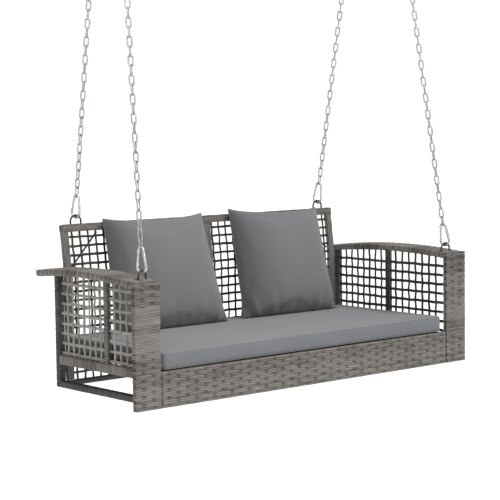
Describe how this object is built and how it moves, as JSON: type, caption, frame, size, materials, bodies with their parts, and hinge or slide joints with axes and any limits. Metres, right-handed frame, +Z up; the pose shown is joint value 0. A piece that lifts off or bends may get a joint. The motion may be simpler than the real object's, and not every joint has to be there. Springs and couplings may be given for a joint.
{
  "type": "porch swing seat",
  "caption": "Woven two-seat porch swing that hangs on chains, with a box seat cushion, square pillows, open lattice arms and back, and spring-gate snap hooks.",
  "frame": {"origin": "under the middle of the swing, level with the front posts' bottoms", "axes": "+Z up, +X towards the sitter's left hand (the viewer's right from the front), the seat faces -Y"},
  "size_m": [1.5, 0.6057, 2.3797],
  "materials": {
    "wicker": "woven grey-brown resin strips with a satin, slightly ribbed face",
    "dark_wicker": "the same resin strips in their darker shade, wound round tubes and woven openly",
    "black_steel": "black coated steel rod",
    "zinc_steel": "bright zinc plating",
    "cushion_cloth": "mid grey plain-weave outdoor cloth over foam",
    "pillow_cloth": "grey plain-weave outdoor cloth over loose fibre filling"
  },
  "bodies": {
    "ceiling": {"ceiling_hook_left": "zinc_steel", "ceiling_hook_right": "zinc_steel"},
    "swing": {"arm_bottom_rail_left": "dark_wicker", "arm_bottom_rail_right": "dark_wicker", "arm_lattice_front_left": "wicker", "arm_lattice_front_right": "wicker", "arm_lattice_rear_left": "wicker", "arm_lattice_rear_right": "wicker", "arm_seat_rail_left": "wicker", "arm_seat_rail_right": "wicker", "armrest_left": "wicker", "armrest_right": "wicker", "back_bottom_rail": "dark_wicker", "back_brace_left": "black_steel", "back_brace_right": "black_steel", "back_bracket_high_left": "black_steel", "back_bracket_high_right": "black_steel", "back_bracket_low_left": "black_steel", "back_bracket_low_right": "black_steel", "back_lattice_left": "dark_wicker", "back_lattice_right": "dark_wicker", "back_leg_left": "dark_wicker", "back_leg_right": "dark_wicker", "back_mid_stile": "wicker", "back_stile_left": "wicker", "back_stile_right": "wicker", "back_top_rail": "wicker", "chain_back_left": "zinc_steel", "chain_back_right": "zinc_steel", "chain_front_left": "zinc_steel", "chain_front_right": "zinc_steel", "eye_back_left": "black_steel", "eye_back_right": "black_steel", "eye_front_left": "black_steel", "eye_front_right": "black_steel", "front_apron": "wicker", "front_post_left": "wicker", "front_post_right": "wicker", "mid_post_left": "wicker", "mid_post_right": "wicker", "pillow_left": "pillow_cloth", "pillow_right": "pillow_cloth", "seat_cross_bar_left": "dark_wicker", "seat_cross_bar_right": "dark_wicker", "seat_cushion": "cushion_cloth", "seat_deck": "dark_wicker", "seat_front_rail": "dark_wicker", "seat_rear_rail": "dark_wicker", "snap_hook_back_left": "zinc_steel", "snap_hook_back_right": "zinc_steel", "snap_hook_front_left": "zinc_steel", "snap_hook_front_right": "zinc_steel", "top_ring_left": "zinc_steel", "top_ring_right": "zinc_steel"},
    "gate_back_left_body": {"gate_back_left": "zinc_steel"},
    "gate_back_right_body": {"gate_back_right": "zinc_steel"},
    "gate_front_left_body": {"gate_front_left": "zinc_steel"},
    "gate_front_right_body": {"gate_front_right": "zinc_steel"}
  },
  "joints": [
    {"name": "swing", "type": "hinge", "parent": "ceiling", "child": "swing", "pos_m": [0, -0.0155, 2.3247], "axis": [1, 0, 0], "range_deg": [-25, 25]},
    {"name": "gate_open_back_left", "type": "hinge", "parent": "swing", "child": "gate_back_left_body", "pos_m": [-0.56323, 0.28532, 0.63036], "axis": [-0.9487, -0.3083, -0.0698], "range_deg": [0, 25], "stiffness_Nm_per_rad": 0.02, "springref_deg": -20.05},
    {"name": "gate_open_back_right", "type": "hinge", "parent": "swing", "child": "gate_back_right_body", "pos_m": [0.55664, 0.28532, 0.63048], "axis": [-0.9504, -0.3088, -0.037], "range_deg": [0, 25], "stiffness_Nm_per_rad": 0.02, "springref_deg": -20.05},
    {"name": "gate_open_front_left", "type": "hinge", "parent": "swing", "child": "gate_front_left_body", "pos_m": [-0.68853, -0.24366, 0.48492], "axis": [-0.9472, -0.3078, 0.0902], "range_deg": [0, 25], "stiffness_Nm_per_rad": 0.02, "springref_deg": -20.05},
    {"name": "gate_open_front_right", "type": "hinge", "parent": "swing", "child": "gate_front_right_body", "pos_m": [0.682, -0.24366, 0.48458], "axis": [-0.951, -0.309, -0.0098], "range_deg": [0, 25], "stiffness_Nm_per_rad": 0.02, "springref_deg": -20.05}
  ]
}
